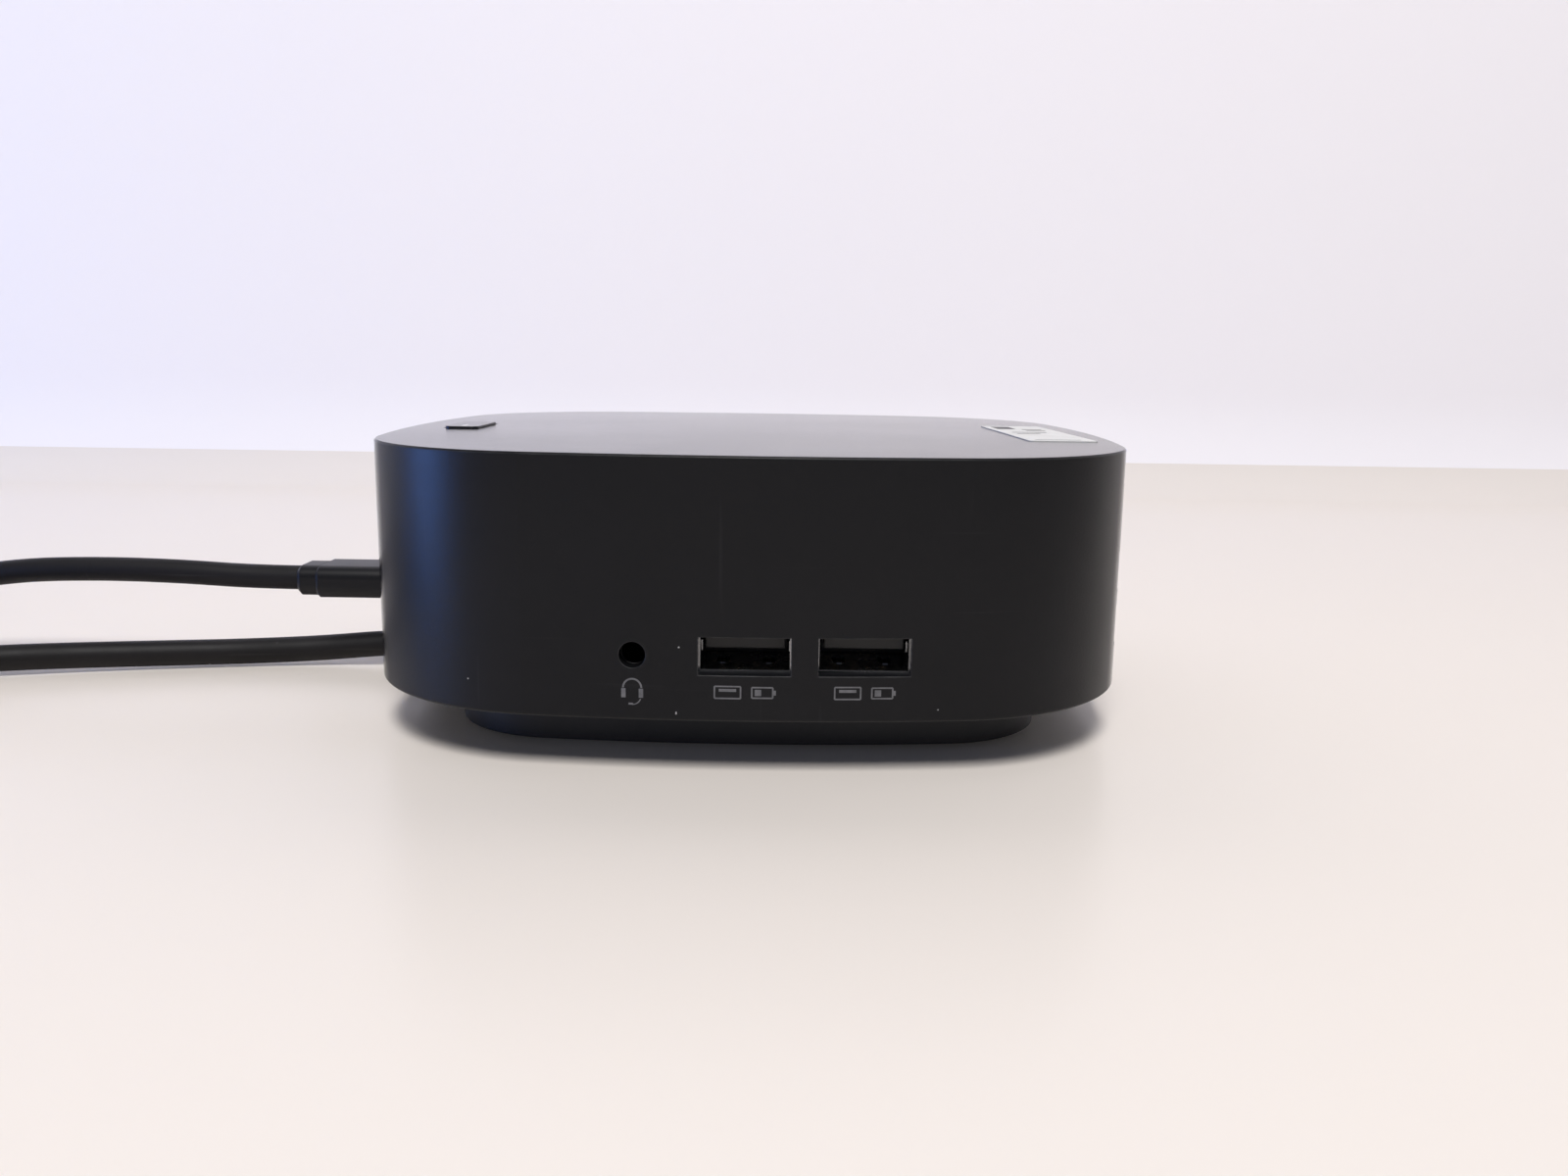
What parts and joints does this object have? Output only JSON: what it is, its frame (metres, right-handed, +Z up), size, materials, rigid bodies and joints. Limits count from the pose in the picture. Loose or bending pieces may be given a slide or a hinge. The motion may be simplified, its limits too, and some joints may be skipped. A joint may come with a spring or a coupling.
{
  "type": "laptop docking station",
  "caption": "Square desktop dock with bulged sides on a drawn-in foot, with front and rear sockets, a power button, a captive host lead and a plugged-in device lead.",
  "frame": {"origin": "on the table under the middle of the housing", "axes": "+Z up, -Y towards the user (front sockets), +X towards the rear socket panel, -X towards the leads"},
  "size_m": [0.3351, 0.1406, 0.0452],
  "materials": {
    "housing_plastic": "fine moulded texture, near black",
    "foot_plastic": "moulded, near black",
    "button_plastic": "satin moulding",
    "soft_rubber": "matt rubber",
    "cord_jacket": "smooth soft jacket",
    "plug_plastic": "satin overmould",
    "weight_steel": "zinc-plated sheet",
    "screw_steel": "zinc-plated",
    "port_steel": "bright nickel",
    "shield_tin": "tin-plated sheet",
    "sink_aluminium": "extruded",
    "can_aluminium": "drawn can with sleeve",
    "board_laminate": "green solder mask",
    "chip_resin": "moulded resin",
    "ferrite": "pressed powder core",
    "pad_silicone": "soft filled silicone",
    "port_plastic": "moulded insulator",
    "contact_gold": "gold flash",
    "light_guide_plastic": "milky clear",
    "flex_polyimide": "amber film",
    "connector_plastic": "off-white moulding",
    "label_paper": "coated white paper"
  },
  "bodies": {
    "dock": {"top_shell": "housing_plastic", "bottom_cover": "housing_plastic", "foot_plinth": "foot_plastic", "rubber_foot_ring": "soft_rubber", "steel_weight_plate": "weight_steel", "case_screws": "screw_steel", "main_board": "board_laminate", "board_screws": "screw_steel", "controller_chips": "chip_resin", "shield_can": "shield_tin", "thermal_pads": "pad_silicone", "heat_sink": "sink_aluminium", "power_inductors": "ferrite", "capacitors": "can_aluminium", "front_usb_a_shells": "port_steel", "front_usb_a_tongues": "port_plastic", "front_usb_a_contacts": "contact_gold", "headset_jack": "port_plastic", "headset_jack_contacts": "contact_gold", "side_usb_c_shell": "port_steel", "side_usb_c_tongue": "port_plastic", "rear_usb_a_shell": "port_steel", "rear_usb_a_tongues": "port_plastic", "hdmi_shell": "port_steel", "hdmi_tongue": "port_plastic", "display_port_shell": "port_steel", "display_port_tongues": "port_plastic", "network_jack_shield": "port_steel", "network_jack_housing": "port_plastic", "network_jack_contacts": "contact_gold", "power_jack_housing": "port_plastic", "power_jack_pin": "port_steel", "rear_port_bracket": "shield_tin", "lock_plate": "weight_steel", "button_switch": "chip_resin", "button_board": "board_laminate", "button_board_screws": "screw_steel", "button_flex": "flex_polyimide", "flex_connector": "connector_plastic", "blank_label": "label_paper", "cable_gland": "soft_rubber", "host_cable_inner_lead": "cord_jacket", "host_cable_header": "connector_plastic", "host_cord": "cord_jacket", "host_cord_coil": "cord_jacket", "host_cord_tail": "cord_jacket", "host_plug_grip": "plug_plastic", "host_plug_shell": "port_steel"},
    "power_button": {"power_button_cap": "button_plastic", "button_light_guide": "light_guide_plastic", "button_plunger": "connector_plastic"},
    "device_lead": {"device_plug_shell": "port_steel", "device_plug_grip": "plug_plastic", "device_plug_collar": "plug_plastic", "device_cord": "cord_jacket", "device_cord_coil": "cord_jacket", "device_cord_tail": "cord_jacket", "far_plug_grip": "plug_plastic", "far_plug_shell": "port_steel"}
  },
  "joints": [
    {"name": "power_button_press", "type": "slide", "parent": "dock", "child": "power_button", "axis": [0, 0, -1], "range_m": [0, 0.0005], "stiffness_N_per_m": 1200, "springref_m": -0.0008},
    {"name": "device_plug_pull", "type": "slide", "parent": "dock", "child": "device_lead", "axis": [-1, 0, 0], "range_m": [0, 0.012]}
  ]
}
